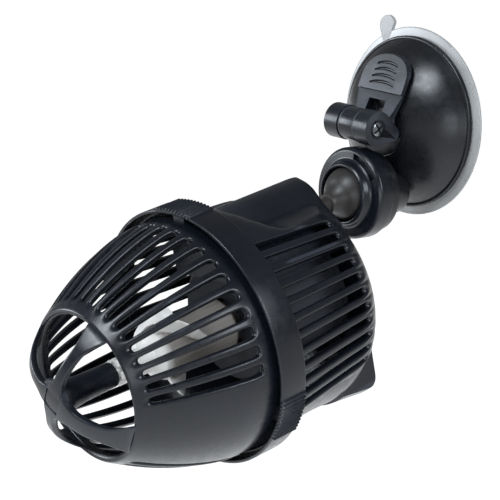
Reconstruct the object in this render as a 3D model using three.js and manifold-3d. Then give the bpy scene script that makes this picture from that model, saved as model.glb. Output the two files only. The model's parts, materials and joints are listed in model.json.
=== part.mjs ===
// Wave maker pump on a lever-lock suction cup. Millimetres, +Z up.
// The glass is the plane Y = 0; the cup hangs on it and everything else stands out towards -Y.
// The pump is drawn along its own axis (front towards +z, up = +y) and then hung on the ball.
import * as THREE from 'three';
import { mergeVertices } from 'three/addons/utils/BufferGeometryUtils.js';
import Module from 'manifold-3d';

const wasm = await Module();
wasm.setup();

// ---- driving dimensions --------------------------------------------------
const gap = 0.3;                  // clearance left between neighbouring pieces

const discRadius = 30;            // soft suction disc
const discLip = 1.5;
const domeRadius = 27.3;          // hard cover over the disc
const domeHeight = 16;            // of the dome curve; its top is cut off flat under the lever
const domePad = 14.6;
const domePadRadius = 10;
const domeWall = 2.2;
const studRadius = 3.6;

const pivotY = -25;               // lever pivot in front of the glass
const pivotZ = 0.5;
const earRadius = 5.5;
const earInner = 3.7;             // half width of the stud head between the ears
const earOuter = 9.4;
const leverTurn = 5.5;            // degrees the lever leans round the stud
const leverLean = 20;             // degrees the lever plate leans back
const leverTop = 22;

const socketZ = -20.9;            // ball socket under the lever
const collarRadius = 14.4;
const collarFront = -28.7;
const collarDepth = 5.9;
const socketRadius = 12.9;
const mouthRadius = 8.5;
const ballRadius = 9.2;
const ballY = -26.3;
const stemRadius = 2.3;

const droop = 12.5;               // degrees the pump hangs nose down
const ballBehind = 72;            // ball centre behind the front face of the ring
const stemHeight = 22.3;          // ball centre above the pump axis

const ringRadius = 40;            // grip ring at the front of the motor housing
const ringWidth = 9.2;
const ringWall = 1.6;
const wall = 2.2;
const barrelTail = 35;            // housing radius where its back edge starts to round over
const backRound = 16;
const backZ = -51.3;
const topLine = { edge: 39.5, knee: -24, height: 28.3 };   // flattened top, lower behind the knee
const stemBoss = { height: 34.6, back: -52, round: 3 };     // fin-like boss round the stem
const lowLobe = { half: 55, waist: 35.2, end: 37.1, round: 3.5 };
const stemStop = backZ + 4.9;      // flange that holds the stem inside the rear wall
const glandDrop = 6;
const screwAngles = [60, 180, 300];
const screwCircle = 14;
const vent = { around: 47, first: 5.5, count: 11, width: 2.7, back: -38 };
const grip = { zones: [3.5, 120, 240], half: 11.5, ribs: 11, height: 0.5 };

const cageRim = 36.6;             // intake cage
const cageBack = -4;
const cageFlare = { radius: 37.2, length: 58.6, bow: 1.53, close: 1.58 };
const noseRadius = 22.5;
const noseZ = 50.5;
const cageSlots = { around: 41, first: 17, count: 35 };   // the other cells stay blank
const slotBack = 3.5;
const slotFront = 34.4;
const spokeTurn = 33.5;
const spokeWidth = 4.4;
const hubRadius = 6;

const shaftRadius = 1.25;
const bushRadius = 2.4;
const magnetRadius = 6.8;
const canRadius = 19;
const canFront = -14;
const canBack = -44;
const impellerRadius = 14.2;

// ---- materials ------------------------------------------------------------
const paint = (color, roughness, metalness = 0) => ({ color, roughness, metalness });
const black = paint(0x23252b, 0.42);
const blackGloss = paint(0x1b1c20, 0.3);
const clear = paint(0xd9dcdc, 0.35);
const white = paint(0xe9e6e0, 0.45);
const steel = paint(0xb9bcc0, 0.3, 1);
const ceramic = paint(0xf3f1ea, 0.25);
const ferrite = paint(0x34343a, 0.6);
const copper = paint(0xb4652f, 0.35, 1);
const iron = paint(0x6e7073, 0.5, 1);
const rubber = paint(0x17171a, 0.85);

// ---- solids ---------------------------------------------------------------
const rad = THREE.MathUtils.degToRad;

// Shared vertices, no empty triangles, faces outwards.
function tidy(geometry) {
  geometry.deleteAttribute('normal');
  geometry.deleteAttribute('uv');
  const merged = mergeVertices(geometry, 1e-4);
  const at = merged.index.array;
  const position = merged.attributes.position;
  const kept = [];
  const p = [0, 1, 2].map(() => new THREE.Vector3());
  let volume = 0;
  for (let i = 0; i < at.length; i += 3) {
    const [a, b, c] = [at[i], at[i + 1], at[i + 2]];
    if (a === b || b === c || c === a) continue;
    kept.push(a, b, c);
    [a, b, c].forEach((v, k) => p[k].fromBufferAttribute(position, v));
    volume += p[0].dot(p[1].clone().cross(p[2]));
  }
  if (volume < 0) kept.reverse();
  merged.setIndex(kept);
  return merged;
}

function solid(geometry) {
  const closed = tidy(geometry);
  return new wasm.Manifold(new wasm.Mesh({
    numProp: 3,
    vertProperties: new Float32Array(closed.attributes.position.array),
    triVerts: new Uint32Array(closed.index.array),
  }));
}

function geometryOf(body) {
  const mesh = body.getMesh();
  const geometry = new THREE.BufferGeometry();
  geometry.setAttribute('position', new THREE.Float32BufferAttribute(mesh.vertProperties, 3));
  geometry.setIndex(Array.from(mesh.triVerts));
  return geometry;
}

const join = (...parts) => parts.reduce((a, b) => a.add(b));
const cut = (body, tools) => tools.reduce((a, b) => a.subtract(b), body);

// Profile of [radius, z] points turned about z, with its first corner line at +y.
function turned(profile, segments = 40) {
  const points = profile.map(([r, z]) => new THREE.Vector2(r, z));
  if (profile[0][0] > 0 || profile[profile.length - 1][0] > 0) points.push(points[0].clone());
  return new THREE.LatheGeometry(points, segments).rotateX(Math.PI / 2).rotateZ(Math.PI);
}

const rod = (r, z0, z1, segments = 28) => turned([[0, z0], [r, z0], [r, z1], [0, z1]], segments);

const tube = (inner, outer, z0, z1, segments = 32) =>
  turned([[inner, z0], [outer, z0], [outer, z1], [inner, z1]], segments);

function prism(shape, z0, z1, curveSegments = 6) {
  const geometry = new THREE.ExtrudeGeometry(shape, {
    depth: z1 - z0, bevelEnabled: false, curveSegments,
  });
  return geometry.translate(0, 0, z0);
}

function polygon(points) {
  return new THREE.Shape(points.map(([x, y]) => new THREE.Vector2(x, y)));
}

// Closed skin over a row of equal convex outlines.
function loft(rings) {
  const n = rings[0].length;
  const vertices = rings.flat(2);
  const index = [];
  for (let k = 0; k + 1 < rings.length; k += 1) {
    for (let i = 0; i < n; i += 1) {
      const a = k * n + i;
      const b = k * n + (i + 1) % n;
      index.push(a, b, b + n, a, b + n, a + n);
    }
  }
  const last = (rings.length - 1) * n;
  for (let i = 1; i + 1 < n; i += 1) {
    index.push(0, i + 1, i);
    index.push(last, last + i, last + i + 1);
  }
  const geometry = new THREE.BufferGeometry();
  geometry.setAttribute('position', new THREE.Float32BufferAttribute(vertices, 3));
  geometry.setIndex(index);
  return geometry;
}

// Outline with a half circle at each end, lying along x.
function slotShape(x0, w0, x1, w1) {
  const shape = new THREE.Shape();
  shape.absarc(x0, 0, w0 / 2, Math.PI / 2, Math.PI * 1.5, false);
  shape.absarc(x1, 0, w1 / 2, -Math.PI / 2, Math.PI / 2, false);
  return shape;
}

// Puts a tool drawn in (x = along the pump axis, y = sideways, z = outwards) at an angle round it.
function radial(geometry, angle) {
  const out = new THREE.Vector3(Math.sin(rad(angle)), Math.cos(rad(angle)), 0);
  const axis = new THREE.Vector3(0, 0, 1);
  const side = out.clone().cross(axis);
  return geometry.applyMatrix4(new THREE.Matrix4().makeBasis(axis, side, out));
}

// ---- frames ---------------------------------------------------------------
const ballCentre = new THREE.Vector3(0, ballY, socketZ);
const toPump = new THREE.Matrix4().makeRotationX(rad(90 + droop));
const ringCentre = new THREE.Vector3(0, -stemHeight, ballBehind)
  .applyMatrix4(toPump).add(ballCentre);
const pumpFrame = toPump.clone().setPosition(ringCentre);
// Turned pieces on the cup: z of the drawing becomes -Y, out of the glass.
const cupFrame = new THREE.Matrix4().makeRotationX(Math.PI / 2);
const socketFrame = cupFrame.clone().setPosition(0, 0, socketZ);
// Lever pieces: x along the pivot, drawing y = world Y, leaning round the stud.
const leverFrame = new THREE.Matrix4().makeRotationY(rad(leverTurn));

const group = new THREE.Group();

function addPart(name, body, material, frame) {
  const geometry = body.getMesh ? geometryOf(body) : tidy(body);
  geometry.applyMatrix4(frame);
  const flat = geometry.toNonIndexed();
  flat.computeVertexNormals();
  const mesh = new THREE.Mesh(flat, new THREE.MeshStandardMaterial(material));
  mesh.name = name;
  group.add(mesh);
}

// ---- suction cup ----------------------------------------------------------
function suctionDisc() {
  const body = solid(turned([
    [0, 0], [discRadius, 0], [discRadius, discLip], [24.5, 1.6],
    [11, 3.6], [7.6, 5.5], [7.6, 9.4], [0, 9.4],
  ], 48));
  const foot = solid(turned([[0, 3], [6.2, 3], [6.2, 6.2], [studRadius + gap, 7], [studRadius + gap, 12],
    [0, 12]], 24));
  const tabShape = slotShape(22, 7, 32, 7);
  const tab = solid(prism(tabShape, 0.2, discLip).rotateZ(rad(110)));
  const dimple = solid(rod(1.1, 0.9, 3, 20).translate(32, 0, 0).rotateZ(rad(110)));
  return cut(join(body, tab), [foot, dimple]);
}

// Stud foot in the disc, shank through the cover, head between the lever ears.
function discStud() {
  const foot = solid(turned([[0, 3.3], [5.9, 3.3], [5.9, 5.9], [studRadius, 6.7],
    [studRadius, -pivotY], [0, -pivotY]], 24).applyMatrix4(cupFrame));
  const head = solid(rod(5.2, -earInner + gap, earInner - gap, 36).rotateY(Math.PI / 2)
    .translate(0, pivotY, pivotZ).applyMatrix4(leverFrame));
  return cut(join(foot, head), [pivotBore()]);
}

function pivotBore() {
  return solid(rod(1.9, -20, 20, 24).rotateY(Math.PI / 2)
    .translate(0, pivotY, pivotZ).applyMatrix4(leverFrame));
}

// Height of the dome skin above the glass at a radius.
const domeAt = (r) => 3.2 + (domeHeight - 3.2) * (1 - (r / 26.2) ** 2.1) ** 0.8;

function cupCover() {
  const steps = [26, 23.5, 18.5];
  const outside = [[domeRadius, 1.9], [domeRadius, 3.4], [26.6, 3.8],
    ...steps.map((r) => [r, domeAt(r)]), [domePadRadius, domePad], [5, domePad]];
  const under = [[24.9, 1.9], [24.9, 2.9], ...steps.slice(1).map((r) => [r - 0.6, domeAt(r) - domeWall]),
    [domePadRadius - 0.6, domePad - domeWall], [5, domePad - domeWall]];
  const shell = solid(turned([...outside, ...under.slice().reverse()], 40).applyMatrix4(cupFrame));
  const hollow = solid(turned([[0, 0], [24.9, 0], ...under, [0, domePad - domeWall]], 40)
    .applyMatrix4(cupFrame));
  const cup = -collarFront - collarDepth;           // height of the shoulder behind the collar
  const socket = solid(turned([
    [0, 8.4], [8, 8.4], [8, 14.6], [9.8, 16.8], [socketRadius - 0.6, cup - 4.7], [socketRadius, cup - 4.1],
    [socketRadius, cup - gap], [11.9, cup - gap], [11.9, cup + 3.4], [0, cup + 3.4],
  ], 40).applyMatrix4(socketFrame));
  const bowl = solid(bowlTool().applyMatrix4(socketFrame));
  return cut(join(shell, socket.subtract(hollow)), [bowl]);
}

// Round seat of the ball with a pocket for the seat ring under it.
function bowlTool() {
  const seat = ballRadius + gap;
  const arc = [];
  for (let a = 54; a <= 90; a += 9) {
    arc.push([seat * Math.sin(rad(a)), -ballY - seat * Math.cos(rad(a))]);
  }
  return turned([[0, 16.6], [arc[0][0], 16.6], ...arc, [seat, 40], [0, 40]], 40);
}

function ballSeat() {
  const seat = ballRadius + gap;
  const rise = (r) => -ballY - Math.sqrt(seat * seat - r * r);
  return turned([[3.4, 16.9], [7.3, 16.9], [7.3, rise(7.3)], [5.4, rise(5.4)], [3.4, rise(3.4)]], 40);
}

function collarNut() {
  const front = -collarFront;
  const seat = ballRadius + gap;
  const lipBack = -ballY + Math.sqrt(seat * seat - mouthRadius * mouthRadius);
  const arc = [];
  for (let a = 20; a <= 26.5; a += 6.5) {
    arc.push([seat * Math.cos(rad(a)), -ballY + seat * Math.sin(rad(a))]);
  }
  const body = solid(turned([
    [12.2, front - collarDepth], [collarRadius, front - collarDepth], [collarRadius, front - 0.9],
    [collarRadius - 0.8, front], [10.9, front + 0.2], [10.2, front + 0.9], [9.8, front + 2.5],
    [9.1, front + 3], [mouthRadius, front + 2.6], [mouthRadius, lipBack], ...arc.reverse(),
    [seat, front - 1.9], [12.2, front - 1.9],
  ], 40));
  const bite = new THREE.Shape();
  bite.absarc(0, 0, 12.9, rad(90 - 12), rad(90 - 65), true);
  bite.absarc(0, 0, 11.2, rad(90 - 65), rad(90 - 12), false);
  const key = (turn) => solid(prism(bite, front - 1.2, front + 2, 10).rotateZ(turn));
  return cut(body, [key(0), key(Math.PI)]);
}

// ---- lever ----------------------------------------------------------------
// Side view in (y, z): the plate face and its back, both leaning back towards the glass.
function plateSide() {
  const slope = Math.tan(rad(leverLean));
  const face = (z) => -16.5 + (z - 10.7) * slope;
  const thick = 2.8;
  const waist = 1.6;              // thinner where the dome stands highest behind the plate
  return polygon([
    [face(-0.5), -0.5], [face(10.2) + 0.8, 10.2], [face(10.7), 10.7], [face(leverTop), leverTop],
    [face(leverTop) + thick, leverTop], [face(14) + waist, 14], [face(10.7) + waist, 10.7],
    [face(4) + thick, 4], [face(-0.5) + thick, -0.5],
  ]);
}

function plateFront() {
  const shape = new THREE.Shape();
  const half = 9.6;
  shape.moveTo(-half + 0.2, -1);
  shape.lineTo(half - 0.2, -1);
  shape.lineTo(7.6, 3.2);
  shape.lineTo(half, 9.6);
  shape.lineTo(half, 15);
  shape.absellipse(0, 15, half, leverTop - 15, 0, Math.PI, false);
  shape.lineTo(-half, 9.6);
  shape.lineTo(-7.6, 3.2);
  return shape;
}

// Outline of an ear in (y, z): round over the pin with a cam tail that presses on the dome.
function earSide() {
  const tail = { y: -18.2, z: -1.5, r: 2.4 };
  const along = Math.atan2(tail.z - pivotZ, tail.y - pivotY);
  const reach = Math.hypot(tail.z - pivotZ, tail.y - pivotY);
  const open = Math.acos((earRadius - tail.r) / reach);
  const shape = new THREE.Shape();
  shape.absarc(pivotY, pivotZ, earRadius, along + open, along - open + 2 * Math.PI, false);
  shape.absarc(tail.y, tail.z, tail.r, along - open, along + open, false);
  return shape;
}

function lockLever() {
  // x of the world runs along the extrusion: (y, z) drawings are stood up with a cyclic turn
  const stand = new THREE.Matrix4().makeBasis(
    new THREE.Vector3(0, 1, 0), new THREE.Vector3(0, 0, 1), new THREE.Vector3(1, 0, 0));
  const front = new THREE.Matrix4().makeBasis(
    new THREE.Vector3(1, 0, 0), new THREE.Vector3(0, 0, 1), new THREE.Vector3(0, -1, 0));
  const side = solid(prism(plateSide(), -10, 10).applyMatrix4(stand));
  const outline = solid(prism(plateFront(), 0, 40, 14).applyMatrix4(front));
  const ear = (x0, x1) => solid(prism(earSide(), x0, x1, 14).applyMatrix4(stand));
  const body = join(side.intersect(outline), ear(-earOuter, -earInner), ear(earInner, earOuter));
  const notch = solid(new THREE.BoxGeometry(2 * earInner, 22, 14).translate(0, -20, 1));
  const counterbore = solid(rod(3.2, earOuter - 1.6, 20, 24).rotateY(Math.PI / 2)
    .translate(0, pivotY, pivotZ));
  const bore = solid(rod(1.9, -20, 20, 24).rotateY(Math.PI / 2).translate(0, pivotY, pivotZ));
  return cut(body, [notch, counterbore, bore]);
}

function pivotScrew() {
  const screw = solid(turned([[0, -6.8], [1.6, -6.8], [1.6, earOuter - 1.3], [2.7, earOuter - 1.3],
    [2.7, earOuter - 0.2], [1.9, earOuter + 0.3], [0, earOuter + 0.4]], 24)
    .rotateY(Math.PI / 2).translate(0, pivotY, pivotZ));
  const drive = solid(new THREE.BoxGeometry(1.2, 7, 0.8).rotateX(rad(35))
    .translate(earOuter + 0.3, pivotY, pivotZ));
  return cut(screw, [drive]);
}

// ---- ball joint -----------------------------------------------------------
function ball() {
  const arc = [];
  for (let a = -90; a <= 90; a += 15) {
    arc.push([ballRadius * Math.cos(rad(a)), ballRadius * Math.sin(rad(a))]);
  }
  arc[0][0] = 0;
  arc[arc.length - 1][0] = 0;
  const sphere = solid(turned(arc, 28));
  const neck = solid(turned([[0, 5], [4, 5], [4, 8.6], [3.3, 10], [3.1, 11.4], [0, 11.4]], 20));
  const hole = solid(rod(stemRadius + gap, 3, 20, 18));
  return geometryOf(cut(join(sphere, neck), [hole]))
    .translate(0, stemHeight, -ballBehind);
}

function ballStem() {
  return turned([
    [0, 3.4 - ballBehind], [stemRadius, 3.4 - ballBehind], [stemRadius, stemStop],
    [3, stemStop], [3, stemStop + 2], [0, stemStop + 2],
  ], 28).translate(0, stemHeight, 0);
}

// ---- motor housing --------------------------------------------------------
// Barrel outline shrunk inwards by an amount: straight taper, then the round back edge.
function barrelProfile(inset, step = 22.5) {
  const edge = backZ + backRound;
  const centre = barrelTail - backRound;
  const r = backRound - inset;
  const points = [];
  for (let a = 0; a <= 90; a += step) {
    points.push([centre + r * Math.cos(rad(a)), edge - r * Math.sin(rad(a))]);
  }
  return [[ringRadius - inset, -ringWidth + 1], ...points];
}

function barrel(inset, front, step) {
  const outline = barrelProfile(inset, step);
  const lead = outline[0][0];
  return turned([[0, front], [lead, front], ...outline, [0, backZ + inset]], vent.around);
}

// Wedge of angle 2 * half about an angle, for keeping a sector of a turned piece.
function wedge(at, half, reach = 60) {
  const shape = new THREE.Shape();
  shape.moveTo(0, 0);
  for (let k = 0; k <= 4; k += 1) {
    const a = rad(at - half + (half * k) / 2);
    shape.lineTo(reach * Math.sin(a), reach * Math.cos(a));
  }
  return prism(shape, -70, 5);
}

// Bottom lobe: waisted skin that runs straight on to a rounded back corner.
function lobe() {
  const { half, waist, end, round } = lowLobe;
  const corner = [0, 45, 90].map((a) => [
    end - round + round * Math.cos(rad(a)), backZ + round - round * Math.sin(rad(a))]);
  const drum = turned([[0, -ringWidth + 1], [waist + 1.4, -ringWidth + 1], [waist, -27], ...corner,
    [0, backZ]], vent.around);
  return solid(drum).intersect(solid(wedge(180, half)));
}

// Side view in (z, y), extruded across the pump.
function acrossPump(points, half) {
  const turn = new THREE.Matrix4().makeBasis(
    new THREE.Vector3(0, 0, 1), new THREE.Vector3(0, 1, 0), new THREE.Vector3(-1, 0, 0));
  return solid(prism(polygon(points), -half, half).applyMatrix4(turn));
}

// Barrel shrunk inwards by an amount, with its top flattened and its bottom kept inside the lobe.
function shell(inset, front, step) {
  const { edge, knee, height } = topLine;
  const above = acrossPump([[1, edge - inset], [-ringWidth, edge - inset], [knee, height - inset],
    [-60, height - inset], [-60, 60], [1, 60]], 50);
  const below = solid(tube(lowLobe.waist - inset, 60, -60, 1, vent.around))
    .intersect(solid(wedge(180, lowLobe.half + (inset > 0 ? 5 : -0.5))));
  return cut(solid(barrel(inset, front, step)), [above, below]);
}

// Fin-like boss that carries the stem: rounded ridge, hollow flanks, rounded back edge.
function boss() {
  const { height, back, round } = stemBoss;
  const flank = [[3.6, height - 1], [6.6, height - 2.9], [10, 27.4], [14, 24.4], [17.2, 21], [17.2, 12]];
  const mirrored = flank.map(([x, y]) => [-x, y]).reverse();
  const section = solid(prism(polygon([[0, height], ...flank, ...mirrored]), back, -14));
  const side = acrossPump([[-14, 12], [-14, height], [back + round, height],
    [back + 0.3 * round, height - 0.3 * round], [back, height - round], [back, 12]], 18);
  return section.intersect(side);
}

// Grip ring: round outline that carries small ribs over each grip zone.
function gripRing() {
  const points = [];
  const pitch = (2 * grip.half) / grip.ribs;
  const corner = (angle, r) => points.push([r * Math.sin(rad(angle)), r * Math.cos(rad(angle))]);
  grip.zones.forEach((centre, k) => {
    for (let i = 0; i < grip.ribs; i += 1) {
      const a = centre - grip.half + i * pitch;
      corner(a, ringRadius);
      corner(a + pitch * 0.35, ringRadius + grip.height);
      corner(a + pitch * 0.7, ringRadius);
    }
    const next = k + 1 < grip.zones.length ? grip.zones[k + 1] : grip.zones[0] + 360;
    const span = next - centre - 2 * grip.half;
    for (let i = 0; i < 14; i += 1) corner(centre + grip.half + (span * i) / 14, ringRadius);
  });
  return prism(polygon(points), -ringWidth, 0);
}

// Housing slot: square against the ring, round at the back.
function ventTool(angle) {
  const narrow = vent.width * 0.4;
  const slot = new THREE.Shape();
  slot.moveTo(-ringWidth, -vent.width / 2);
  slot.lineTo(-ringWidth, vent.width / 2);
  slot.absarc(vent.back + narrow, 0, narrow, Math.PI / 2, Math.PI * 1.5, false);
  return solid(radial(prism(slot, 24, 60, 2), angle));
}

function motorHousing() {
  let body = join(shell(0, -2), boss(), lobe(), solid(gripRing()));
  const bore = solid(turned([[0, 1], [ringRadius - ringWall, 1], [ringRadius - ringWall, -ringWidth + 0.6],
    [ringRadius - wall - 0.4, -ringWidth], [0, -ringWidth]], vent.around));
  body = cut(body, [bore, shell(wall, -ringWidth + 1.2, 45)]);
  const seat = solid(tube(16.4, canRadius, backZ + 1, canBack - 2.2 - gap, 32));
  const lug = (angle) => solid(prism(sector(angle, 5, ringRadius - ringWall - 1.2, ringRadius - 0.8),
    -1.5, -0.1));
  body = join(body, seat, ...grip.zones.map(lug));
  const tools = [];
  for (let i = 0; i < vent.count; i += 1) {
    const angle = ((vent.first + i) * 360) / vent.around;
    tools.push(ventTool(angle), ventTool(-angle));
  }
  tools.push(solid(rod(stemRadius + gap, -60, -40, 20).translate(0, stemHeight, 0)));
  tools.push(solid(rod(3.2, -60, -40, 20).translate(0, -glandDrop, 0)));
  screwAngles.forEach((a) => tools.push(solid(screwPlace(rod(1.5, -60, -40, 14), a))));
  return cut(body, tools);
}

// Ring sector between two radii about an angle, as an outline.
function sector(at, half, inner, outer) {
  const shape = new THREE.Shape();
  const a0 = rad(90 - at - half);
  const a1 = rad(90 - at + half);
  shape.absarc(0, 0, outer, a0, a1, false);
  shape.absarc(0, 0, inner, a1, a0, true);
  return shape;
}

function screwPlace(geometry, angle) {
  return geometry.translate(screwCircle * Math.sin(rad(angle)), screwCircle * Math.cos(rad(angle)), 0);
}

function backScrew(angle) {
  return screwPlace(turned([[0, backZ - 1.7], [1.8, backZ - 1.6], [2.5, backZ - 0.9], [2.5, backZ - gap],
    [1.2, backZ - gap], [1.2, canBack - 1], [0, canBack - 1]], 14), angle);
}

function cableGland() {
  return turned([[1.6, backZ - 4], [2.9, backZ - 4], [4.2, backZ - 1.2], [4.2, backZ - gap],
    [2.9, backZ - gap], [2.9, backZ + wall + gap], [4, backZ + wall + gap], [4, backZ + wall + 1.6],
    [1.6, backZ + wall + 1.6]], 20).translate(0, -glandDrop, 0);
}

// ---- motor ----------------------------------------------------------------
const wellRadius = 7.6;
const wellWall = 1.5;
const wellBack = -43;

function motorCan() {
  return turned([
    [wellRadius, canFront], [canRadius - 1.2, canFront], [canRadius, canFront - 1.2],
    [canRadius, canBack], [canRadius - 1.7, canBack], [canRadius - 1.7, canFront - 2],
    [wellRadius + wellWall, canFront - 2], [wellRadius + wellWall, wellBack - 0.9],
    [0, wellBack - 0.9], [0, wellBack], [bushRadius + gap, wellBack], [bushRadius + gap, wellBack + 3.4],
    [bushRadius + 1.8, wellBack + 3.4], [bushRadius + 1.8, wellBack], [wellRadius, wellBack],
  ], 40);
}

function endCap() {
  const plate = solid(rod(canRadius, canBack - 2.2, canBack - gap, 40));
  const holes = screwAngles.map((a) => solid(screwPlace(rod(1.5, -60, -40, 14), a)));
  return cut(plate, holes);
}

function statorCore() {
  const yoke = solid(tube(13.8, 16.9, -36, -22, 36));
  const pole = (sign) => solid(new THREE.BoxGeometry(8, 5.4, 14).translate(0, sign * 12.4, -29));
  const well = solid(rod(wellRadius + wellWall + gap, -45, -15, 36));
  return cut(join(yoke, pole(1), pole(-1)), [well]);
}

function coil(sign) {
  const outer = solid(new THREE.BoxGeometry(13, 3, 19).translate(0, sign * 12, -29));
  const inner = solid(new THREE.BoxGeometry(8.6, 8, 14.6).translate(0, sign * 12, -29));
  const yoke = solid(tube(13.5, 20, -36.3, -21.7, 48));
  const well = solid(rod(wellRadius + wellWall + gap, -45, -15, 48));
  return cut(outer, [inner, yoke, well]);
}

// ---- rotor ----------------------------------------------------------------
const bush = (z0, z1) => tube(shaftRadius + gap, bushRadius, z0, z1, 20);
const shaft = () => rod(shaftRadius, -42.4, 34.5, 24);
const magnet = () => tube(shaftRadius + gap, magnetRadius, -37, -17.5, 32);
const washer = (z0, z1) => tube(shaftRadius + gap, 3, z0, z1, 20);

// Blade: a twisted strip standing on the hub.
function blade(start) {
  const rings = [];
  for (let k = 0; k <= 6; k += 1) {
    const along = 14 - 13 * (k / 6);
    const turn = rad(start + 62 * (k / 6));
    const out = impellerRadius - 3.2 * Math.abs(k / 3 - 1) ** 3;
    const half = 0.8;
    rings.push([[7.4, -half], [out, -half * 0.6], [out, half * 0.6], [7.4, half]].map(([r, t]) => [
      r * Math.sin(turn) + t * Math.cos(turn), r * Math.cos(turn) - t * Math.sin(turn), along]));
  }
  return solid(loft(rings));
}

function impeller() {
  const hub = solid(turned([[0, -12], [7.9, -12], [8.4, -11], [8.4, 12], [7.2, 14.6], [4.4, 16],
    [4, 17], [4, 28.4], [0, 28.4]], 30));
  const bore = solid(rod(shaftRadius + gap, -20, 40, 16));
  const hollow = solid(tube(3.2, 6.6, -14, 9, 24));
  const notch = (a) => solid(new THREE.BoxGeometry(1.5, 12, 4).translate(0, 0, 28.4).rotateZ(rad(a)));
  return cut(join(hub, blade(20), blade(140), blade(260)), [bore, hollow, notch(0), notch(60), notch(120)]);
}

// ---- intake cage ----------------------------------------------------------
const flareAt = (z) => cageFlare.radius
  * (1 - (z / cageFlare.length) ** cageFlare.bow) ** (1 / cageFlare.close);
const noseAt = (r) => noseZ - 11.1 * (r / noseRadius) ** 3;

function cageSkin(inset, rows = [0, 12, 24, 35]) {
  const side = rows.map((z) => [Math.min(flareAt(z), cageRim) - inset, z]);
  const cap = [22.5, 15, 8].map((r) => [r - inset * 0.6, noseAt(r) - inset * 0.8]);
  return [...side, ...cap, [0, noseZ - inset]];
}

function cageSlot(angle) {
  return solid(radial(prism(slotShape(slotBack + 1.6, 3.2, slotFront - 2.4, 2.1), 20, 46, 2), angle));
}

// One of the four windows between the spokes, drawn with the spokes along x and y.
function noseWindow(quarter) {
  const half = spokeWidth / 2;
  const at = (r) => Math.atan2(half, Math.sqrt(r * r - half * half));
  const shape = new THREE.Shape();
  shape.absarc(0, 0, noseRadius, at(noseRadius), Math.PI / 2 - at(noseRadius), false);
  shape.absarc(0, 0, hubRadius, Math.PI / 2 - at(hubRadius), at(hubRadius), true);
  return solid(prism(shape, 28, 60, 5).rotateZ(rad(-spokeTurn + 90 * quarter)));
}

function cage() {
  const back = cageBack;
  const outside = solid(turned([[0, back], [cageRim, back], ...cageSkin(0)], cageSlots.around));
  const inside = solid(turned([[0, back - 1], [cageRim - wall, back - 1],
    ...cageSkin(wall, [0, 18, 35])], cageSlots.around));
  const pipe = solid(turned([[0, 29.5], [3.4, 29.5], [4.6, noseZ - 1.6], [0, noseZ - 1.6]], 24));
  const windows = [0, 1, 2, 3].map(noseWindow);
  const tab = (angle) => solid(prism(sector(angle, 4, cageRim - 1, ringRadius - ringWall - gap),
    back + 0.1, back + 2));
  let body = cut(outside, [inside, ...windows]);
  body = join(body, pipe, ...grip.zones.map(tab));
  const tools = [solid(rod(bushRadius + gap, 20, 37.5, 20))];
  const pitch = 360 / cageSlots.around;
  for (let k = 0; k < cageSlots.count; k += 1) {
    tools.push(cageSlot((cageSlots.first + k + 0.5) * pitch));
  }
  return cut(body, tools);
}

// ---- assembly -------------------------------------------------------------
addPart('suction_disc', suctionDisc(), clear, cupFrame);
addPart('disc_stud', discStud(), black, new THREE.Matrix4());
addPart('cup_cover', cupCover(), blackGloss, new THREE.Matrix4());
addPart('lock_lever', lockLever(), black, leverFrame);
addPart('pivot_screw', pivotScrew(), steel, leverFrame);
addPart('ball_seat', ballSeat(), rubber, socketFrame);
addPart('collar_nut', collarNut(), black, socketFrame);
addPart('ball', ball(), blackGloss, pumpFrame);
addPart('ball_stem', ballStem(), black, pumpFrame);
addPart('motor_housing', motorHousing(), black, pumpFrame);
addPart('motor_can', motorCan(), black, pumpFrame);
addPart('end_cap', endCap(), black, pumpFrame);
addPart('stator_core', statorCore(), iron, pumpFrame);
addPart('coil_upper', coil(1), copper, pumpFrame);
addPart('coil_lower', coil(-1), copper, pumpFrame);
addPart('rear_bush', bush(wellBack + gap, wellBack + 3.4), ceramic, pumpFrame);
addPart('cable_gland', cableGland(), rubber, pumpFrame);
screwAngles.forEach((a, k) => addPart(`back_screw_${k + 1}`, backScrew(a), steel, pumpFrame));
addPart('rotor_shaft', shaft(), ceramic, pumpFrame);
addPart('rotor_magnet', magnet(), ferrite, pumpFrame);
addPart('washer_front', washer(-17.2, -12.3), rubber, pumpFrame);
addPart('washer_rear', washer(-38.8, -37.3), rubber, pumpFrame);
addPart('impeller', impeller(), white, pumpFrame);
addPart('cage', cage(), black, pumpFrame);
addPart('front_bush', bush(29.8, 37.2), ceramic, pumpFrame);

export default group;
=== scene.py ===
"""Looks of the wave maker pump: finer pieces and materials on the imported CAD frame, camera and light."""
import json
import math

import bmesh
import bpy
from mathutils import Matrix, Vector


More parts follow.
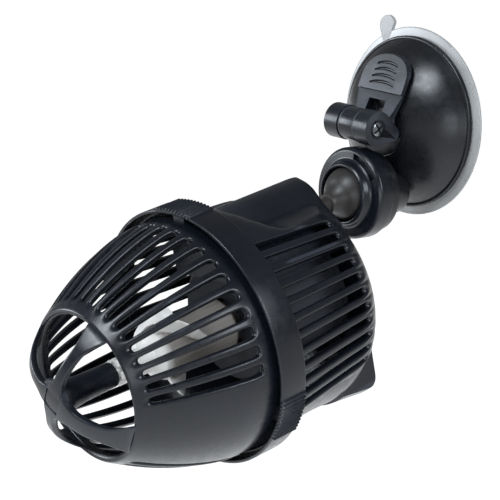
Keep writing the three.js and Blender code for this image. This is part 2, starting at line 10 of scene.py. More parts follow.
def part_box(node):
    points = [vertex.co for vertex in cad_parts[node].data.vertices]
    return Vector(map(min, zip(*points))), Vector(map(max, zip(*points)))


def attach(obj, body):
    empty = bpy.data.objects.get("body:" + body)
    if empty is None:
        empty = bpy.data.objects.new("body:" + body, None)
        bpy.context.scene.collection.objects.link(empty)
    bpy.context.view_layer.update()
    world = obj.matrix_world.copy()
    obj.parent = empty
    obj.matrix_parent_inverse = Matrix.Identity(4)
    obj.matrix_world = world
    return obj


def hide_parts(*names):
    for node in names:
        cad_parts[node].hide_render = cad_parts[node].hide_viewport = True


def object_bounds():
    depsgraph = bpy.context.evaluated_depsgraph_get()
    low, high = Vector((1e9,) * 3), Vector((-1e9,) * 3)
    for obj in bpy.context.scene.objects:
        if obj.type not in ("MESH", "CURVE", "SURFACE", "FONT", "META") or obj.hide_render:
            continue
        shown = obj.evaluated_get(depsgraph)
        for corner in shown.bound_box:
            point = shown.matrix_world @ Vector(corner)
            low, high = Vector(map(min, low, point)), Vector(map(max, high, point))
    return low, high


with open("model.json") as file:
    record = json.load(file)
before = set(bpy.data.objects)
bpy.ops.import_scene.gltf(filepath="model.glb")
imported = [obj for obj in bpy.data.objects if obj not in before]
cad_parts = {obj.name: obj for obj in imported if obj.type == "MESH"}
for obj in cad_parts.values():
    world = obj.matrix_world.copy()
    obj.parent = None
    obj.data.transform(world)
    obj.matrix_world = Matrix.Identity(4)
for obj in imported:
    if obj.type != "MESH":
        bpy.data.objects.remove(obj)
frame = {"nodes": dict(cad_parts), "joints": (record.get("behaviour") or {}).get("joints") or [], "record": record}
cad_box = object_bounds()

MM = 0.001

# ---- sizes, in millimetres, taken from the frame ---------------------------


def joint(name):
    return next(j for j in frame["joints"] if j["name"] == name)


def reach(node, axis):
    """How far a CAD node reaches along an axis of the row, up and down, in millimetres."""
    low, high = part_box(node)
    return low[axis] / MM, high[axis] / MM


ball_centre = Vector(joint("ball_tilt")["pos_m"]) / MM
pivot = Vector(joint("lever_lock")["pos_m"]) / MM
ring_centre = Vector(joint("cage_bayonet")["pos_m"]) / MM
pump_axis = Vector(joint("cage_bayonet")["axis"]).normalized()

disc_radius = reach("suction_disc", 0)[1]
dome_radius = reach("cup_cover", 0)[1]
collar_radius = reach("collar_nut", 0)[1]
collar_back = -reach("collar_nut", 1)[1]
collar_front = collar_back + 5.9
ball_radius = reach("ball", 0)[1]
stem_height = (ball_centre - ring_centre).dot(pump_axis.cross(Vector((1, 0, 0))))
ball_behind = (ball_centre - ring_centre).dot(pump_axis)
ring_radius = reach("motor_housing", 0)[1]
ring_width = 9.2
cage_rim = reach("cage", 0)[1]
nose_length = 50.5
nose_radius = 22.5
housing_back = -51.3
wall = 2.2


def basis(x, y, z, origin=Vector((0, 0, 0))):
    """Matrix that carries a drawing with these axes and origin, in millimetres, into the row in metres."""
    turn = Matrix((x, y, z)).transposed().to_4x4()
    return Matrix.Scale(MM, 4) @ Matrix.Translation(origin) @ turn


PUMP = basis(Vector((1, 0, 0)), pump_axis.cross(Vector((1, 0, 0))), pump_axis, ring_centre)
CUP = basis(Vector((1, 0, 0)), Vector((0, 0, 1)), Vector((0, -1, 0)))
SOCKET = basis(Vector((1, 0, 0)), Vector((0, 0, 1)), Vector((0, -1, 0)), Vector((0, 0, ball_centre.z)))
lever_x = Vector(joint("lever_lock")["axis"]).normalized()
LEVER = basis(lever_x, Vector((0, 1, 0)), lever_x.cross(Vector((0, 1, 0))))

# ---- mesh helpers -----------------------------------------------------------


def new_object(name, bm, place, body, material, replaces=(), sharp=38):
    """Mesh object in the row frame, riding on a body, with smooth faces and sharp corners."""
    bmesh.ops.remove_doubles(bm, verts=bm.verts, dist=1e-5)
    bmesh.ops.recalc_face_normals(bm, faces=bm.faces)
    bm.transform(place)
    mesh = bpy.data.meshes.new(name)
    bm.to_mesh(mesh)
    bm.free()
    mesh.shade_smooth()
    mesh.set_sharp_from_angle(angle=math.radians(sharp))
    obj = bpy.data.objects.new(name, mesh)
    bpy.context.scene.collection.objects.link(obj)
    mesh.materials.append(material["material"])
    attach(obj, body)
    if replaces:
        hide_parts(*replaces)
    return obj


def rounded(points, radius, closed=True, steps=4):
    """Outline with its corners rounded off; points on the axis stay."""
    points = [Vector(p) for p in points]
    out = []
    for i, p in enumerate(points):
        a = points[i - 1]
        b = points[(i + 1) % len(points)]
        end = not closed and i in (0, len(points) - 1)
        cut = min(radius, 0.45 * (p - a).length, 0.45 * (b - p).length)
        if end or abs(p.x) < 1e-6:
            out.append(p)
            continue
        start = p + (a - p).normalized() * cut
        stop = p + (b - p).normalized() * cut
        for k in range(steps + 1):
            u = k / steps
            out.append(start * (1 - u) ** 2 + p * (2 * u * (1 - u)) + stop * u * u)
    return out


def lathe(profile, segments=144, closed=True):
    """Turned body: profile of (radius, z) about z."""
    bm = bmesh.new()
    rings = []
    for k in range(segments):
        a = 2 * math.pi * k / segments
        rings.append([bm.verts.new((p[0] * math.sin(a), p[0] * math.cos(a), p[1])) for p in profile])
    count = len(profile)
    spans = count if closed else count - 1
    for k in range(segments):
        near, far = rings[k], rings[(k + 1) % segments]
        for i in range(spans):
            j = (i + 1) % count
            if profile[i][0] < 1e-6 and profile[j][0] < 1e-6:
                continue
            bm.faces.new((near[i], far[i], far[j], near[j]))
    bmesh.ops.remove_doubles(bm, verts=bm.verts, dist=1e-6)
    return bm


def prism(outline, z0, z1):
    """Outline of (x, y) points made solid between two heights."""
    bm = bmesh.new()
    low = [bm.verts.new((p[0], p[1], z0)) for p in outline]
    high = [bm.verts.new((p[0], p[1], z1)) for p in outline]
    count = len(outline)
    for i in range(count):
        j = (i + 1) % count
        bm.faces.new((low[i], low[j], high[j], high[i]))
    bm.faces.new(low[::-1])
    bm.faces.new(high)
    bmesh.ops.recalc_face_normals(bm, faces=bm.faces)
    return bm


def bridge(bm, rings, ends=True):
    """Joins rows of equally many vertices into a tube, with its two ends closed or joined."""
    count = len(rings[0])
    following = rings[1:] if ends else rings[1:] + rings[:1]
    for near, far in zip(rings, following):
        for i in range(count):
            j = (i + 1) % count
            bm.faces.new((near[i], near[j], far[j], far[i]))
    if ends:
        bm.faces.new(rings[0])
        bm.faces.new(rings[-1][::-1])


def arc(cx, cy, r, start, stop, steps):
    """Points on a circle, degrees counted from +x towards +y."""
    turn = [math.radians(start + (stop - start) * k / steps) for k in range(steps + 1)]
    return [(cx + r * math.cos(a), cy + r * math.sin(a)) for a in turn]


def loose(name, bm, place=Matrix.Identity(4)):
    """Throw-away object for a boolean."""
    bm.transform(place)
    mesh = bpy.data.meshes.new(name)
    bm.to_mesh(mesh)
    bm.free()
    obj = bpy.data.objects.new(name, mesh)
    bpy.context.scene.collection.objects.link(obj)
    return obj


def boolean(target, tool, operation):
    """Joins, cuts or intersects target with a throw-away tool."""
    change = target.modifiers.new(operation, "BOOLEAN")
    change.operation = operation
    change.solver = "MANIFOLD"
    change.object = tool
    bake(target)
    bpy.data.objects.remove(tool, do_unlink=True)


def bake(obj):
    """Replaces an object's mesh by what its modifiers make of it."""
    deps = bpy.context.evaluated_depsgraph_get()
    mesh = bpy.data.meshes.new_from_object(obj.evaluated_get(deps))
    obj.modifiers.clear()
    obj.data = mesh


def to_bmesh(obj):
    """The mesh of a throw-away object, which goes."""
    bm = bmesh.new()
    bm.from_mesh(obj.data)
    bpy.data.objects.remove(obj, do_unlink=True)
    return bm


def bevel(obj, width, segments=3, angle=40):
    """Rounds off the corners of a cut piece."""
    edge = obj.modifiers.new("edges", "BEVEL")
    edge.width = width * MM
    edge.segments = segments
    edge.limit_method = "ANGLE"
    edge.angle_limit = math.radians(angle)
    edge.harden_normals = True
    edge.use_clamp_overlap = True
    return obj


def smooth(obj, levels=1):
    """Subdivision surface on a piece built of quads."""
    sub = obj.modifiers.new("smooth", "SUBSURF")
    sub.levels = levels
    sub.render_levels = levels
    return obj


# ---- materials ----------------------------------------------------------------


class Nodes:
    """Small helper that adds and links shader nodes of one material."""

    def __init__(self, name):
        self.material = bpy.data.materials.new(name)
        self.material.use_nodes = True
        self.tree = self.material.node_tree
        self.shader = self.tree.nodes["Principled BSDF"]
        self.place = self.add("ShaderNodeTexCoord").outputs["Object"]

    def add(self, kind, **settings):
        node = self.tree.nodes.new(kind)
        for key, value in settings.items():
            setattr(node, key, value)
        return node

    def link(self, output, target):
        self.tree.links.new(output, target)

    def noise(self, scale, detail=4.0, rough=0.55, stretch=None):
        node = self.add("ShaderNodeTexNoise")
        node.inputs["Scale"].default_value = scale
        node.inputs["Detail"].default_value = detail
        node.inputs["Roughness"].default_value = rough
        source = self.place
        if stretch:
            mapping = self.add("ShaderNodeMapping")
            mapping.inputs["Scale"].default_value = stretch
            self.link(self.place, mapping.inputs["Vector"])
            source = mapping.outputs["Vector"]
        self.link(source, node.inputs["Vector"])
        return node.outputs["Fac"]

    def span(self, value, low, high, start=0.3, stop=0.7):
        """Carries a 0..1 value onto a range."""
        node = self.add("ShaderNodeMapRange")
        node.inputs["From Min"].default_value = start
        node.inputs["From Max"].default_value = stop
        node.inputs["To Min"].default_value = low
        node.inputs["To Max"].default_value = high
        self.link(value, node.inputs["Value"])
        return node.outputs["Result"]

    def mix(self, factor, a, b):
        node = self.add("ShaderNodeMix", data_type="RGBA")
        self.link(factor, node.inputs["Factor"])
        for socket, colour in ((node.inputs[6], a), (node.inputs[7], b)):
            if isinstance(colour, tuple):
                socket.default_value = (*colour, 1)
            else:
                self.link(colour, socket)
        return node.outputs[2]

    def bump(self, height, strength, distance):
        node = self.add("ShaderNodeBump")
        node.inputs["Strength"].default_value = strength
        node.inputs["Distance"].default_value = distance * MM
        self.link(height, node.inputs["Height"])
        self.link(node.outputs["Normal"], self.shader.inputs["Normal"])

    def set(self, **values):
        for key, value in values.items():
            self.shader.inputs[key.replace("_", " ")].default_value = value


def plastic(name, slot, dark, light, rough, grain=0.05, shine=0.24):
    """Moulded plastic: cloudy tone, uneven gloss, fine grain and painted highlights that make convex corners
    paler.
    """
    n = Nodes(name)
    cloud = n.span(n.noise(45, 5), 0, 1)
    tone = n.mix(cloud, dark, light)
    geometry = n.add("ShaderNodeNewGeometry")
    # painted highlight: convex corners, picked out by pointiness, are mixed towards a paler bluish tone
    edge = n.span(geometry.outputs["Pointiness"], 0, 0.55, 0.52, 0.62)
    edge_highlight_tone = tuple(min(1.0, 3.2 * c + 0.015) for c in light)
    n.link(n.mix(edge, tone, edge_highlight_tone), n.shader.inputs["Base Color"])
    n.link(n.span(n.noise(420, 6), rough - 0.05, rough + 0.07), n.shader.inputs["Roughness"])
    n.bump(n.noise(2600, 3), grain, 0.05)
    n.set(IOR=1.5, Specular_IOR_Level=shine)
    return {"material": n.material, "slot": slot}


def clear_pvc():
    """Soft translucent disc with a faint milky cloud."""
    n = Nodes("clear_pvc")
    cloud = n.span(n.noise(60, 4), 0, 1)
    n.link(n.mix(cloud, (0.27, 0.275, 0.275), (0.36, 0.365, 0.365)), n.shader.inputs["Base Color"])
    n.link(n.span(n.noise(90, 3), 0.24, 0.34), n.shader.inputs["Roughness"])
    n.bump(n.noise(200, 2), 0.04, 0.05)
    n.set(IOR=1.45, Transmission_Weight=0.45)
    return {"material": n.material, "slot": "clear_pvc"}


def metal(name, slot, dark, light, rough, stretch=(1, 1, 1)):
    """Metal with fine drawn lines and uneven gloss."""
    n = Nodes(name)
    lines = n.noise(900, 5, 0.6, stretch)
    n.link(n.mix(n.span(lines, 0, 1), dark, light), n.shader.inputs["Base Color"])
    n.link(n.span(n.noise(250, 4), rough - 0.06, rough + 0.1), n.shader.inputs["Roughness"])
    n.bump(lines, 0.1, 0.04)
    n.set(Metallic=1.0)
    return {"material": n.material, "slot": slot}


BLACK = plastic("black_plastic", "black_plastic", (0.0022, 0.0029, 0.0046), (0.0045, 0.0058, 0.009),
                0.29, 0.05, 0.27)
COVER = plastic("cover_plastic", "cover_plastic", (0.003, 0.0034, 0.0044), (0.005, 0.0056, 0.007),
                0.28, 0.02, 0.27)
BALL = plastic("ball_plastic", "cover_plastic", (0.012, 0.011, 0.0105), (0.02, 0.018, 0.017), 0.4, 0.05)
INSIDE = plastic("inside_plastic", "black_plastic", (0.006, 0.006, 0.008), (0.011, 0.012, 0.015), 0.5)
CERAMIC = plastic("ceramic", "ceramic", (0.74, 0.72, 0.66), (0.86, 0.84, 0.79), 0.2, 0.04, 0.5)
RUBBER = plastic("rubber", "rubber", (0.007, 0.007, 0.008), (0.014, 0.014, 0.015), 0.7, 0.3)
PVC = clear_pvc()
STEEL = metal("steel", "steel", (0.44, 0.45, 0.46), (0.66, 0.67, 0.69), 0.28)
SCREW = metal("dark_steel", "steel", (0.05, 0.055, 0.06), (0.2, 0.21, 0.22), 0.3)
FERRITE = metal("ferrite", "ferrite", (0.03, 0.03, 0.035), (0.07, 0.07, 0.08), 0.55)
COPPER = metal("copper_winding", "copper_winding", (0.36, 0.10, 0.02), (0.56, 0.2, 0.06), 0.32, (1, 9, 1))
CORE = metal("core_steel", "core_steel", (0.1, 0.1, 0.11), (0.24, 0.24, 0.25), 0.45, (1, 12, 1))

# ---- suction cup ---------------------------------------------------------------


def suction_disc():
    profile = rounded([
        (0, 0), (disc_radius - 0.9, 0), (disc_radius, 0.5), (disc_radius, 1.3), (26, 1.6), (11, 3.4),
        (7.6, 5.5), (7.6, 9.4), (0, 9.4),
    ], 0.5)
    disc = new_object("disc", lathe(profile), CUP, "cup", PVC, ["suction_disc"])
    tab = prism([(x, y) for x, y in arc(32, 0, 3.4, -90, 90, 12) + arc(25, 0, 3.4, 90, 92, 1)], 0.25, 1.45)
    turn = CUP @ Matrix.Rotation(math.radians(110), 4, "Z")
    piece = new_object("disc_tab", tab, turn, "cup", PVC)
    return disc, bevel(piece, 0.35)


def dome_at(r):
    """Height of the cover over the glass at a radius."""
    return 3.2 + 12.8 * (1 - (r / 26.2) ** 2.1) ** 0.8


def cup_cover():
    steps = [25.9 - 1.2 * k for k in range(14)]
    outside = [(r, dome_at(r)) for r in steps]
    profile = rounded([(dome_radius - 2.4, 1.9), (dome_radius, 1.9), (dome_radius, 3.4), (26.5, 3.7)], 0.35)
    profile += [Vector(p) for p in outside] + rounded([(10, 14.6), (5, 14.6), (5, 12.4), (9, 12.4)], 0.3)
    profile += [Vector((r - 0.6, dome_at(r) - wall)) for r in (14, 18.5, 22)] + [Vector((24.9, 2.9))]
    dome = new_object("cover_dome", lathe(profile), CUP, "cup", COVER, ["cup_cover"])
    back = collar_back
    socket = rounded([
        (0, 9), (7.9, 9), (7.9, 14.4), (9.7, 16.8), (12.3, back - 4.7), (12.9, back - 4.1),
        (12.9, back - 0.3),
        (11.9, back - 0.3), (11.9, back + 3.2), (9.7, back + 3.2), (9.6, 24), (8.6, 19.8), (5, 17.4), (0, 17),
    ], 0.3)
    cylinder = new_object("cover_socket", lathe(socket), SOCKET, "cup", COVER)
    return dome, cylinder


def collar_nut():
    f = collar_front
    seat = ball_radius + 0.3
    mouth = 8.5
    profile = rounded([
        (12.2, f - 5.9), (collar_radius, f - 5.9), (collar_radius, f - 1.0), (collar_radius - 0.9, f),
        (11, f + 0.1), (10.3, f + 0.9), (9.9, f + 2.4), (9.2, f + 3), (mouth + 0.15, f + 2.8),
        (mouth, f + 1.8), (seat - 0.1, f - 0.3), (seat, f - 1.9), (12.2, f - 1.9),
    ], 0.4)
    blank = loose("collar_blank", lathe(profile, 120))
    for turn in (0, 180):
        bite = prism(arc(0, 0, 12.95, 78, 25, 14) + arc(0, 0, 11.15, 25, 78, 14), f - 1.2, f + 2)
        boolean(blank, loose("bite", bite, Matrix.Rotation(math.radians(turn), 4, "Z")), "DIFFERENCE")
    return bevel(new_object("collar", to_bmesh(blank), SOCKET, "collar", BLACK, ["collar_nut"]), 0.15, 2)


# ---- lever -----------------------------------------------------------------------

LEAN = math.tan(math.radians(20))
LEVER_TOP = 22.0


def plate_face(z):
    """How far in front of the glass the lever plate's face is, as world y."""
    return -16.5 + (z - 10.7) * LEAN


def plate_outline():
    half = 9.6
    side = [(half - 0.2, -1), (7.6, 3.2), (half, 9.6), (half, 14)]
    top = [(half * math.cos(math.radians(a)), 14 + 8 * math.sin(math.radians(a)) ** 0.8)
           for a in range(12, 169, 12)]
    return side + top + [(-x, z) for x, z in reversed(side)]


def lever():
    stand = Matrix(((0, 0, 1, 0), (1, 0, 0, 0), (0, 1, 0, 0), (0, 0, 0, 1)))
    upright = Matrix(((1, 0, 0, 0), (0, 0, -1, 0), (0, 1, 0, 0), (0, 0, 0, 1)))
    f = plate_face
    section = [
        (f(-0.5), -0.5), (f(10.2) + 0.8, 10.2), (f(10.7), 10.7), (f(LEVER_TOP), LEVER_TOP),
        (f(LEVER_TOP) + 2.8, LEVER_TOP), (f(14) + 1.6, 14), (f(10.7) + 1.6, 10.7), (f(4) + 2.8, 4),
        (f(-0.5) + 2.8, -0.5),
    ]
    blank = loose("lever_blank", prism(section, -10, 10), stand)
    boolean(blank, loose("front", prism(plate_outline(), 0, 40), upright), "INTERSECT")
    for x0, x1 in ((-9.4, -3.7), (3.7, 9.4)):
        boolean(blank, loose("ear", prism(ear_outline(), x0, x1), stand), "UNION")
    notch = prism([(-3.7, -6), (3.7, -6), (3.7, 8), (-3.7, 8)], 9, 31)
    boolean(blank, loose("notch", notch, upright), "DIFFERENCE")
    across = Matrix.Translation((0, pivot.y, pivot.z)) @ Matrix.Rotation(math.pi / 2, 4, "Y")
    bore = lathe([(0, -20), (1.9, -20), (1.9, 7.8), (3.2, 7.8), (3.2, 20), (0, 20)], 48)
    boolean(blank, loose("bore", bore, across), "DIFFERENCE")
    for groove in plate_grooves():
        boolean(blank, groove, "DIFFERENCE")
    piece = new_object("lever", to_bmesh(blank), LEVER, "lever", BLACK, ["lock_lever"])
    return bevel(piece, 0.3)


def ear_outline():
    """Ear in (y, z): round over the pin, with the cam's tail towards the dome."""
    tail = Vector((-18.2, -1.5))
    centre = Vector((pivot.y, pivot.z))
    along = math.degrees(math.atan2(tail.y - centre.y, tail.x - centre.x))
    spread = math.degrees(math.acos((5.5 - 2.4) / (tail - centre).length))
    return (arc(centre.x, centre.y, 5.5, along + spread, along - spread + 360, 30)
            + arc(tail.x, tail.y, 2.4, along - spread, along + spread, 14))


def plate_grooves():
    """Curved finger grooves one above the other in the upper face of the plate."""
    tools = []
    for row in range(4):
        half, z = 5.4 - 0.3 * row, 12.6 + 2.0 * row
        path = [(half * u, z + 0.8 * (1 - u * u)) for u in [k / 6 - 1 for k in range(13)]]
        tools.append(tube_tool(path))
    return tools


def tube_tool(path):
    """Round cutter along a path drawn in (x, z) on the plate's face."""
    bm = bmesh.new()
    rings = []
    for i, (x, z) in enumerate(path):
        a = Vector(path[max(i - 1, 0)])
        b = Vector(path[min(i + 1, len(path) - 1)])
        along = (b - a).normalized()
        r = 0.55 * math.sin(math.pi * (0.12 + 0.76 * i / (len(path) - 1))) ** 0.5
        ring = []
        for k in range(10):
            t = 2 * math.pi * k / 10
            off = r * math.cos(t)
            ring.append(bm.verts.new((x - along.y * off, plate_face(z) + 0.1 + r * math.sin(t),
                                      z + along.x * off)))
        rings.append(ring)
    bridge(bm, rings)
    bmesh.ops.recalc_face_normals(bm, faces=bm.faces)
    return loose("groove", bm)


def stud_and_screw():
    across = Matrix.Translation((0, pivot.y, pivot.z)) @ Matrix.Rotation(math.pi / 2, 4, "Y")
    head = rounded([(1.9, -3.3), (5.2, -3.3), (5.2, 3.3), (1.9, 3.3)], 0.5)
    knob = new_object("stud_head", lathe(head, 96), LEVER @ across, "stud", BLACK)
    screw = rounded([(0, -6.8), (1.6, -6.8), (1.6, 8.1), (2.7, 8.1), (2.7, 9.0), (1.9, 9.6), (0, 9.8)], 0.25)
    blank = loose("screw_blank", lathe(screw, 64), across)
    for turn in (35, 125):
        cut = prism([(-2, -0.35), (2, -0.35), (2, 0.35), (-2, 0.35)], 9.0, 12)
        turned = across @ Matrix.Rotation(math.radians(turn), 4, "Z")
        boolean(blank, loose("drive", cut, turned), "DIFFERENCE")
    return knob, new_object("screw", to_bmesh(blank), LEVER, "lever", SCREW, ["pivot_screw"])


# ---- ball joint --------------------------------------------------------------------


def ball_and_stem():
    sphere = [(ball_radius * math.cos(math.radians(a)), ball_radius * math.sin(math.radians(a)))
              for a in range(-90, 58, 4)]
    sphere[0] = (0, -ball_radius)
    neck = [(4.3, 8.7), (3.9, 9.4), (3.4, 10.2), (3.15, 11.0), (3.1, 11.4), (2.35, 11.5), (2.3, 6), (0, 6)]
    place = PUMP @ Matrix.Translation((0, stem_height, ball_behind))
    piece = new_object("ball_joint", lathe(sphere + neck, 96), place, "ball_body", BALL, ["ball"])
    rod = rounded([(0, 6.2), (2.3, 6.2), (2.3, 24.6), (0, 24.6)], 0.2)
    stem = new_object("stem", lathe(rod, 64), place, "pump", BALL, ["ball_stem"])
    return piece, stem


# ---- slotted shells -----------------------------------------------------------------


class Outline:
    """Outline of (radius, z) points, looked up by the length along it."""

    def __init__(self, points, outward=1):
        self.points = [Vector(p) for p in points]
        self.at = [0.0]
        for a, b in zip(self.points, self.points[1:]):
            self.at.append(self.at[-1] + (b - a).length)
        self.normals = []
        for i in range(len(self.points)):
            run = self.points[min(i + 1, len(self.points) - 1)] - self.points[max(i - 1, 0)]
            self.normals.append(Vector((run.y, -run.x)).normalized() * outward)

    @property
    def length(self):
        return self.at[-1]

    def find(self, z):
        """Length at which the outline passes a height."""
        for i, (a, b) in enumerate(zip(self.points, self.points[1:])):
            if min(a.y, b.y) <= z <= max(a.y, b.y):
                return self.at[i] + (self.at[i + 1] - self.at[i]) * (z - a.y) / (b.y - a.y)
        return self.length

    def place(self, t, angle, depth):
        """Point at a length, a turn in degrees and a depth under the skin."""
        t = min(max(t, 0.0), self.length)
        i = next((k for k in range(len(self.at) - 1) if t <= self.at[k + 1]), len(self.at) - 2)
        u = (t - self.at[i]) / (self.at[i + 1] - self.at[i])
        p = self.points[i].lerp(self.points[i + 1], u)
        p = p - self.normals[i].lerp(self.normals[i + 1], u).normalized() * depth
        a = math.radians(angle)
        r = max(p.x, 0.0)
        return Vector((r * math.sin(a), r * math.cos(a), p.y))

    def radius(self, t):
        return self.place(t, 90, 0).x


COLUMNS = 4


def slotted_shell(outline, around, holed, slot, lead, trail, shape=lambda p, depth: p):
    """Closed shell: cells round the axis, the holed ones pierced by a slot with rounded edges.

    slot has rows (lengths from the cell's start to its end), half widths at both ends, and the scoop
    added to the tips. lead and trail are the (length, depth) paths round the shell's two rims. shape
    moves a point of the skin, given its depth.
    """
    bm = bmesh.new()
    known = {}

    def vertex(t, angle, depth):
        p = shape(outline.place(t, angle, depth), depth)
        key = (round(p.x, 3), round(p.y, 3), round(p.z, 3))
        if key not in known:
            known[key] = bm.verts.new(p)
        return known[key]

    def face(*corners):
        distinct = list(dict.fromkeys(corners))
        if len(distinct) > 2 and not bm.faces.get(distinct):
            bm.faces.new(distinct)

    rows = slot["rows"]
    pitch = 360 / around

    def frame_loop(middle, depth):
        half = pitch / 2
        across = [half - pitch * k / COLUMNS for k in range(COLUMNS + 1)]
        spots = [(t, half) for t in rows[1:-1]] + [(rows[-1], a) for a in across]
        spots += [(t, -half) for t in rows[-2:0:-1]] + [(rows[0], -a) for a in across]
        return [vertex(t, middle + a, depth) for t, a in spots]

    def slot_loop(middle, grow, scoop, depth):
        first, last = rows[1], rows[-2]
        turns = [math.pi * (k + 1) / (COLUMNS + 2) for k in range(COLUMNS + 1)]

        def half(t):
            u = (t - first) / (last - first)
            return slot["start"] + (slot["stop"] - slot["start"]) * u + grow

        spots = [(t, half(t)) for t in rows[1:-1]]
        spots += [(last + (half(last) + scoop * slot["scoop_stop"]) * math.sin(a), half(last) * math.cos(a))
                  for a in turns]
        spots += [(t, -half(t)) for t in rows[-2:0:-1]]
        spots += [(first - (half(first) + scoop * slot["scoop_start"]) * math.sin(a),
                   -half(first) * math.cos(a)) for a in turns]
        return [vertex(t, middle + math.degrees(side / outline.radius(t)), depth) for t, side in spots]

    for cell in range(around):
        middle = (cell + 0.5) * pitch
        if cell in holed:
            loops = [frame_loop(middle, 0)]
            loops += [slot_loop(middle, *ring) for ring in slot["rings"]]
            loops.append(frame_loop(middle, wall))
            for outer, inner in zip(loops, loops[1:]):
                for k in range(len(outer)):
                    j = (k + 1) % len(outer)
                    face(outer[k], outer[j], inner[j], inner[k])
        columns = [cell * pitch + pitch * k / COLUMNS for k in range(COLUMNS + 1)]
        for a, b in zip(columns, columns[1:]):
            if cell not in holed:
                for depth in (0, wall):
                    for t, s in zip(rows, rows[1:]):
                        face(vertex(t, a, depth), vertex(s, a, depth),
                             vertex(s, b, depth), vertex(t, b, depth))
            for path in (lead, trail):
                for (t, d), (s, e) in zip(path, path[1:]):
                    face(vertex(t, a, d), vertex(s, a, e), vertex(s, b, e), vertex(t, b, d))
    return bm


# loops of a slot's edge from the skin to the inside: how far it opens, the scoop's share and the depth
RIBS = [(0.7, 1.0, 0.0), (0.3, 0.62, 0.12), (0.08, 0.3, 0.5), (0, 0, 1.1), (0, 0, wall - 0.5),
        (0.4, 0.3, wall)]


def rim_path(t, end, inner):
    """Path round a rim: out along the skin, over the rounded edge and back inside."""
    way = 1 if end > t else -1
    return [(t, 0), (end - way * 0.8, 0), (end - way * 0.2, 0.1), (end, 0.6), (end, wall - 0.6),
            (end - way * 0.2, wall - 0.1), (end - way * 0.8, wall), (inner, wall)]


# ---- intake cage --------------------------------------------------------------------

CAGE_SLOTS = 41


def flare(z):
    return min(cage_rim, 37.2 * (1 - (max(z, 0) / 58.6) ** 1.53) ** (1 / 1.58))


def nose(r):
    return nose_length - 11.1 * (r / nose_radius) ** 3


def cage_shell():
    outline = Outline([(flare(z), z) for z in [-4 + 0.9 * k for k in range(49)]])
    tip, root = outline.find(34.2), outline.find(5.0)
    start, stop = outline.find(1.4), outline.find(38.3)
    rows = [start] + [root + (tip - root) * k / 8 for k in range(9)] + [stop]
    slot = {"rows": rows, "start": 1.6, "stop": 1.05, "scoop_start": 0.5, "scoop_stop": 1.9, "rings": RIBS}
    holed = set(range(CAGE_SLOTS)) - set(range(11, 17))
    lead = rim_path(start, 0, start)
    trail = rim_path(stop, outline.length, stop)
    bm = slotted_shell(outline, CAGE_SLOTS, holed, slot, lead, trail)
    return smooth(new_object("cage_shell", bm, PUMP, "intake", BLACK, ["cage"], 75))


def cage_spokes():
    """Four curved spokes that widen into the rim and the hub."""
    bm = bmesh.new()
    for quarter in range(4):
        turn = math.radians(33.5 + 90 * quarter)
        out = Vector((math.sin(turn), math.cos(turn), 0))
        side = Vector((math.cos(turn), -math.sin(turn), 0))
        rings = []
        for k in range(19):
            r = 3.0 + 19.2 * k / 18
            middle = 2.9 if quarter == 1 else 1.6
            half = middle + 2.6 * math.exp(-((22.2 - r) / 2.6) ** 1.4) + 1.6 * math.exp(-((r - 3.0) / 3) ** 2)
            sink = 0.45 * math.exp(-((22.2 - r) / 2) ** 2)
            section = rounded([(-half, -2.3), (half, -2.3), (half, 0), (-half, 0)], 0.7, steps=3)
            rings.append([bm.verts.new(out * r + side * p.x + Vector((0, 0, nose(r) - sink + p.y)))
                          for p in section])
        bridge(bm, rings)
    return new_object("cage_spokes", bm, PUMP, "intake", BLACK, sharp=60)


def cage_hub():
    top = nose_length
    profile = [(0, top - 0.1), (2.5, top - 0.15), (4.8, top - 0.5), (6.0, top - 1.1), (6.3, top - 1.9),
               (5.6, top - 3.0), (4.6, top - 5), (4.0, top - 10), (3.7, 29.6), (3.4, 29.2), (2.8, 29.4),
               (2.7, 37), (0, 37)]
    return new_object("cage_hub", lathe(profile, 72), PUMP, "intake", BLACK)


def cage_tabs():
    """Bayonet lugs at the back rim of the cage."""
    bm = bmesh.new()
    for centre in (3.5, 120, 240):
        shape = arc(0, 0, 38.1, 90 - centre - 4, 90 - centre + 4, 8)
        shape += arc(0, 0, 35.6, 90 - centre + 4, 90 - centre - 4, 8)
        add = prism(shape, -3.9, -2)
        mesh = bpy.data.meshes.new("tab")
        add.to_mesh(mesh)
        add.free()
        bm.from_mesh(mesh)
        bpy.data.meshes.remove(mesh)
    return bevel(new_object("cage_tabs", bm, PUMP, "intake", BLACK), 0.3)


# ---- motor housing ---------------------------------------------------------------------

VENTS = 47
TAIL = 35.0
ROUND = 16.0


def barrel_points():
    edge = housing_back + ROUND
    straight = [(39.2 - (39.2 - TAIL) * k / 20, -4.4 + (edge + 4.4) * k / 20) for k in range(20)]
    centre = TAIL - ROUND
    back = [(centre + ROUND * math.cos(math.radians(a)), edge - ROUND * math.sin(math.radians(a)))
            for a in range(0, 91, 5)]
    return straight + back + [(centre - 1.9 * k, housing_back) for k in range(1, 11)]


LOW_HALF = 55


def waist(z):
    """Radius of the lower skin along the pump."""
    return 35.3 + 1.8 * ((z + 27) / 19) ** 2


def top_line(z):
    """Height of the flattened top: a slant behind the ring, then level."""
    return max(28.3, 39.5 + (z + ring_width) * 11.2 / 14.8)


def flattened(p, depth):
    """Keeps a point of the barrel under the flattened top and inside the lower skin."""
    p.y = min(p.y, top_line(p.z) - depth)
    off = abs(math.degrees(math.atan2(p.x, -p.y)))
    out = math.hypot(p.x, p.y)
    limit = waist(p.z) - 0.5 - depth
    if off < LOW_HALF + 2 and out > limit and p.z < -ring_width:
        p.x *= limit / out
        p.y *= limit / out
    return p


